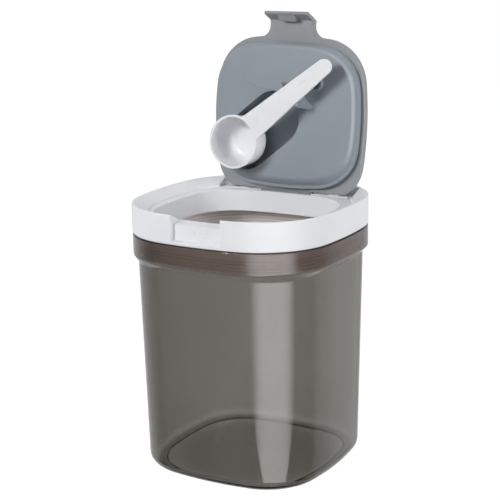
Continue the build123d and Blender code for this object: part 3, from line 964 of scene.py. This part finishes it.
def plug_loop(inset, height):
    """Outline of the plug, drawn in by an inset from its own wall at that height."""
    if height <= SEAL_HIGH:
        half, near, far = PLUG_ROOT
    else:
        share = (height - SEAL_HIGH) / (PLUG_FACE - SEAL_HIGH)
        half, near, far = blend_edges(PLUG_SHOULDER, PLUG_FACE_EDGE, share)
    return lid_loop(half - inset, near + inset, far - inset, height)


def make_lid_plug():
    profile = rounded(
        [
            (PLUG_MIDDLE, PLUG_BASE, 0),
            (0, PLUG_BASE, 0.4),
            (0, SEAL_HIGH, 0),
        ]
    )
    profile += rounded(
        [
            (0, SEAL_HIGH + 0.001, 0),
            (0, PLUG_FACE, 1.8),
            (PLUG_MIDDLE, PLUG_FACE, 0),
        ]
    )
    plug = skin("plug", [plug_loop(inset, height) for inset, height in profile])
    # pocket for the bowl, a slot along the handle
    end = Vector((*POCKET_END, 0))
    start = end - Matrix.Rotation(HANDLE_ANGLE, 3, "Z") @ Vector((POCKET_LENGTH, 0, 0))
    slot = []
    for centre, turn in ((end, -90), (start, 90)):
        for k in range(SLOT_STEPS + 1):
            angle = HANDLE_ANGLE + math.radians(turn + 180 / SLOT_STEPS * k)
            out_x = POCKET_RADIUS * math.cos(angle)
            out_y = POCKET_RADIUS * math.sin(angle)
            slot.append((centre.x + out_x, centre.y + out_y))
    cut(plug, upright("pocket", slot, POCKET_FLOOR, PLUG_FACE + 2))
    # cradle across the handle, with a prong each side and a gusset on the hinge side
    cradle = BOWL_RIM - HANDLE_THICK - CLIP_GAP
    prong = [
        (CLIP_OUT, CLIP_TOP, 0.8),
        (CLIP_IN - CLIP_LIP, CLIP_TOP, 0.4),
        (CLIP_IN - CLIP_LIP, CLIP_TOP - 1.0, 0.2),
        (CLIP_IN, CLIP_TOP - 1.8, 0),
        (CLIP_IN, cradle, 0.8),
        (0, cradle, 0),
    ]
    side = rounded([(CLIP_OUT, PLUG_FACE - 1, 0)] + prong)[:-1]
    gusset = [(CLIP_FOOT, PLUG_FACE - 1, 0), (CLIP_OUT, CLIP_TOP - 0.9, 1.0)]
    gusset_side = rounded(gusset + prong)[:-1]
    outline = side + [np.array([-u, v]) for u, v in gusset_side[::-1]]
    clip = sideways("clip", outline, CLIP_THICK / 2)
    at_clip = Matrix.Translation((CLIP_AT, 0, 0)) @ Matrix.Rotation(CLIP_TILT, 4, "Z")
    clip.data.transform(TO_HANDLE @ at_clip)
    post = upright("post", circle(POST_RADIUS, 48, POST_AT), PLUG_FACE - 1, POST_TOP)
    join(plug, clip, post)
    hollow = circle(POST_BORE, 48, POST_AT)
    cut(plug, upright("hollow", hollow, PLUG_FACE - POST_HOLLOW, POST_TOP + 1))
    soften(plug, PIECE_EDGE)
    finish_piece(plug, LID_PLACE, "lid_plug", "lid", PLUG_BLUE)


def make_lid_seal():
    half, near, far = PLUG_ROOT
    inner = (half + SEAL_FIT, near - SEAL_FIT, far + SEAL_FIT)
    middle = (SEAL_LOW + SEAL_HIGH) / 2
    profile = rounded(
        [
            (0, SEAL_LOW, 0),
            (1, SEAL_LOW, 0.3),
            (1, middle - SEAL_GROOVE, 0.1),
            (0.7, middle, 0.2),
            (1, middle + SEAL_GROOVE, 0.1),
            (1, SEAL_HIGH, 0.3),
            (0, SEAL_HIGH, 0),
        ],
        closed=True,
    )
    loops = [lid_loop(*blend_edges(inner, SEAL_EDGE, share), height) for share, height in profile]
    seal = skin("seal", loops, wrap=True)
    soften(seal, 0)
    finish_piece(seal, LID_PLACE, "lid_seal", "lid", SEAL_BLUE)


# ---------------------------------------------------------------- scoop
def handle_half(along):
    """Half width of the handle, with a small flare where it meets the bowl."""
    share = (along - HANDLE_ROOT) / (HANDLE_LENGTH - HANDLE_ROOT)
    taper = HANDLE_ROOT_HALF + (HANDLE_TIP_RADIUS - HANDLE_ROOT_HALF) * share
    return taper + FLARE_WIDE * max(0.0, (FLARE_END - along) / FLARE_LENGTH) ** 2


def make_scoop():
    low = BOWL_RIM - BOWL_DEPTH
    profile = rounded(
        [
            (1, low, 0),
            (BOWL_BASE_RADIUS, low, BOWL_ROUND),
            (BOWL_RADIUS, BOWL_RIM, 0),
            (BOWL_RADIUS - BOWL_WALL, BOWL_RIM, 0),
            (BOWL_BASE_RADIUS - BOWL_WALL, low + BOWL_WALL, BOWL_ROUND - BOWL_WALL),
            (1, low + BOWL_WALL, 0),
        ]
    )
    scoop = skin("scoop", [level(circle(radius, 96), height) for radius, height in profile])
    edge_points = [(along, handle_half(along)) for along in HANDLE_STATIONS]
    tip = [
        (HANDLE_LENGTH + HANDLE_TIP_RADIUS * math.cos(t), HANDLE_TIP_RADIUS * math.sin(t))
        for t in np.linspace(math.pi / 2, -math.pi / 2, 25)
    ]
    root = [
        (ROOT_RADIUS * math.cos(t), ROOT_RADIUS * math.sin(t))
        for t in np.linspace(-ROOT_TURN, ROOT_TURN, 13)
    ]
    plan = edge_points + tip + [(along, -half) for along, half in edge_points[::-1]] + root
    join(scoop, upright("handle", plan, BOWL_RIM - HANDLE_THICK, BOWL_RIM))
    soften(scoop, PIECE_EDGE)
    finish_piece(scoop, SCOOP_PLACE, "scoop", "scoop", SCOOP_WHITE)


# ---------------------------------------------------------------- stage, in metres and radians
CAMERA_AT = Vector((0.3574, -0.6265, 0.2958))
CAMERA_YAW = 0.5198
CAMERA_PITCH = 0.2445
CAMERA_ROLL = -0.0168
CAMERA_LENS = 99.7

# the room's glow, and where the white sweep starts and is full, as cosines from straight ahead
ROOM_GLOW = 0.07
SWEEP_START = 0.05
SWEEP_FULL = 0.5
# share of its glow that the floor keeps under the jar
FLOOR_SHADE = 0.66
# shares of the base's half width at which that shade starts to lift, and is gone
SHADE_INNER = 0.7
SHADE_OUTER = 0.95
FLOOR_HALF = 6.0
FLOOR_APART = 0.0002


def emission_mix(name, colour, glow, share, shade=1.0):
    """Pale surface that is partly lit and partly glows, as a light table does.

    Its glow falls to a shade under the object, where no light gets in.
    """
    material = bpy.data.materials.new(name)
    material.use_nodes = True
    tree = material.node_tree
    tree.nodes.clear()
    diffuse = tree.nodes.new("ShaderNodeBsdfDiffuse")
    diffuse.inputs["Color"].default_value = (*colour, 1)
    lit = tree.nodes.new("ShaderNodeEmission")
    away = tree.nodes.new("ShaderNodeVectorMath")
    away.operation = "LENGTH"
    tree.links.new(tree.nodes.new("ShaderNodeTexCoord").outputs["Object"], away.inputs[0])
    inner = SHADE_INNER * JAR_BASE_HALF * MM
    outer = SHADE_OUTER * JAR_BASE_HALF * MM
    glow_here = spread(tree, away.outputs["Value"], glow * shade, glow, inner, outer)
    tree.links.new(glow_here, lit.inputs["Strength"])
    mix = tree.nodes.new("ShaderNodeMixShader")
    mix.inputs["Fac"].default_value = share
    output = tree.nodes.new("ShaderNodeOutputMaterial")
    tree.links.new(diffuse.outputs["BSDF"], mix.inputs[1])
    tree.links.new(lit.outputs["Emission"], mix.inputs[2])
    tree.links.new(mix.outputs["Shader"], output.inputs["Surface"])
    return material


def floor_plane(name, z, material):
    plan = [(-1, -1), (1, -1), (1, 1), (-1, 1)]
    corners = [(x * FLOOR_HALF, y * FLOOR_HALF, z) for x, y in plan]
    mesh = bpy.data.meshes.new(name)
    mesh.from_pydata(corners, [], [(0, 1, 2, 3)])
    mesh.materials.append(material)
    floor = bpy.data.objects.new(name, mesh)
    bpy.context.scene.collection.objects.link(floor)
    return floor


def make_floor():
    """One plane that the camera sees, and one under it that lights the object from below."""
    pale = emission_mix("pale_floor", (0.8, 0.8, 0.8), glow=1.15, share=0.85, shade=FLOOR_SHADE)
    seen = floor_plane("floor", 0.0, pale)
    seen.visible_diffuse = False
    seen.visible_glossy = False
    seen.visible_shadow = False
    dim = emission_mix("floor_bounce", (0.45, 0.45, 0.45), glow=0.5, share=0.1)
    lit = floor_plane("floor_bounce", -FLOOR_APART, dim)
    lit.visible_camera = False
    lit.visible_transmission = False
    lit.visible_glossy = False
    lit.visible_shadow = False


def area_light(name, azimuth, elevation, distance, width, height, power):
    """Soft light aimed at the middle of the object. Azimuth 0 is the front, and 90 the +X side."""
    a = math.radians(azimuth)
    e = math.radians(elevation)
    back = Vector((math.sin(a) * math.cos(e), -math.cos(a) * math.cos(e), math.sin(e)))
    middle = (cad_low + cad_high) / 2
    data = bpy.data.lights.new(name, "AREA")
    data.shape = "RECTANGLE"
    data.size = width
    data.size_y = height
    data.energy = power
    light = bpy.data.objects.new(name, data)
    light.location = middle + back * distance
    light.rotation_mode = "QUATERNION"
    light.rotation_quaternion = back.to_track_quat("Z", "Y")
    bpy.context.scene.collection.objects.link(light)
    return light


def soft_edges(light, share):
    """Fades a light's panel out towards its two upright edges, over a share of its width."""
    light.data.use_nodes = True
    tree = light.data.node_tree
    tree.nodes.clear()
    where = tree.nodes.new("ShaderNodeNewGeometry")
    split = tree.nodes.new("ShaderNodeSeparateXYZ")
    tree.links.new(where.outputs["Parametric"], split.inputs["Vector"])
    fade = tree.nodes.new("ShaderNodeMath")
    fade.operation = "PINGPONG"
    fade.inputs[1].default_value = 0.5
    tree.links.new(split.outputs["X"], fade.inputs[0])
    ramp = tree.nodes.new("ShaderNodeMapRange")
    ramp.interpolation_type = "SMOOTHSTEP"
    ramp.inputs["From Max"].default_value = share
    tree.links.new(fade.outputs["Value"], ramp.inputs["Value"])
    lamp = tree.nodes.new("ShaderNodeEmission")
    tree.links.new(ramp.outputs["Result"], lamp.inputs["Strength"])
    output = tree.nodes.new("ShaderNodeOutputLight")
    tree.links.new(lamp.outputs["Emission"], output.inputs["Surface"])


def make_world():
    """White sweep behind the object, and a dimmer room in front of it."""
    world = bpy.data.worlds.new("studio")
    world.use_nodes = True
    tree = world.node_tree
    tree.nodes.clear()
    where = tree.nodes.new("ShaderNodeTexCoord")
    facing = tree.nodes.new("ShaderNodeVectorMath")
    facing.operation = "DOT_PRODUCT"
    facing.inputs[1].default_value = (-math.sin(CAMERA_YAW), math.cos(CAMERA_YAW), 0)
    tree.links.new(where.outputs["Generated"], facing.inputs[0])
    sweep = tree.nodes.new("ShaderNodeMapRange")
    sweep.inputs["From Min"].default_value = SWEEP_START
    sweep.inputs["From Max"].default_value = SWEEP_FULL
    sweep.inputs["To Min"].default_value = ROOM_GLOW
    sweep.inputs["To Max"].default_value = 1.0
    tree.links.new(facing.outputs["Value"], sweep.inputs["Value"])
    background = tree.nodes.new("ShaderNodeBackground")
    tree.links.new(sweep.outputs["Result"], background.inputs["Strength"])
    output = tree.nodes.new("ShaderNodeOutputWorld")
    tree.links.new(background.outputs["Background"], output.inputs["Surface"])
    bpy.context.scene.world = world


def make_lights():
    area_light(
        "key", azimuth=-14, elevation=25, distance=1.3, width=0.4, height=0.4, power=11.6
    )
    right = area_light(
        "right_fill", azimuth=88, elevation=12, distance=1.3, width=0.6, height=0.8, power=11.5
    )
    right.visible_glossy = False
    top = area_light(
        "top_fill", azimuth=-70, elevation=65, distance=1.3, width=0.8, height=0.8, power=3.6
    )
    top.visible_glossy = False
    # the panel whose reflection runs down the jar's corner
    sheen = area_light(
        "sheen_panel", azimuth=39, elevation=8, distance=0.9, width=1.92, height=1.5, power=44
    )
    soft_edges(sheen, share=0.35)
    sheen.visible_diffuse = False
    sheen.visible_camera = False


def make_camera():
    yaw_right = Vector((math.cos(CAMERA_YAW), math.sin(CAMERA_YAW), 0))
    ahead = Vector(
        (
            -math.sin(CAMERA_YAW) * math.cos(CAMERA_PITCH),
            math.cos(CAMERA_YAW) * math.cos(CAMERA_PITCH),
            -math.sin(CAMERA_PITCH),
        )
    )
    yaw_up = yaw_right.cross(ahead)
    right = yaw_right * math.cos(CAMERA_ROLL) + yaw_up * math.sin(CAMERA_ROLL)
    up = yaw_up * math.cos(CAMERA_ROLL) - yaw_right * math.sin(CAMERA_ROLL)
    data = bpy.data.cameras.new("camera")
    data.lens = CAMERA_LENS
    data.sensor_width = 36
    data.clip_start = 0.01
    camera = bpy.data.objects.new("camera", data)
    turn = Matrix((right, up, -ahead)).transposed()
    camera.matrix_world = Matrix.Translation(CAMERA_AT) @ turn.to_4x4()
    bpy.context.scene.collection.objects.link(camera)
    bpy.context.scene.camera = camera
    bpy.context.scene.view_settings.view_transform = "Standard"


make_jar()
make_collar_ring()
make_gasket()
make_lid_cover()
make_lid_plug()
make_lid_seal()
make_scoop()
pin = frame["nodes"]["hinge_pin"]
pin.data.materials.clear()
pin.data.materials.append(STEEL)
make_floor()
make_world()
make_lights()
make_camera()
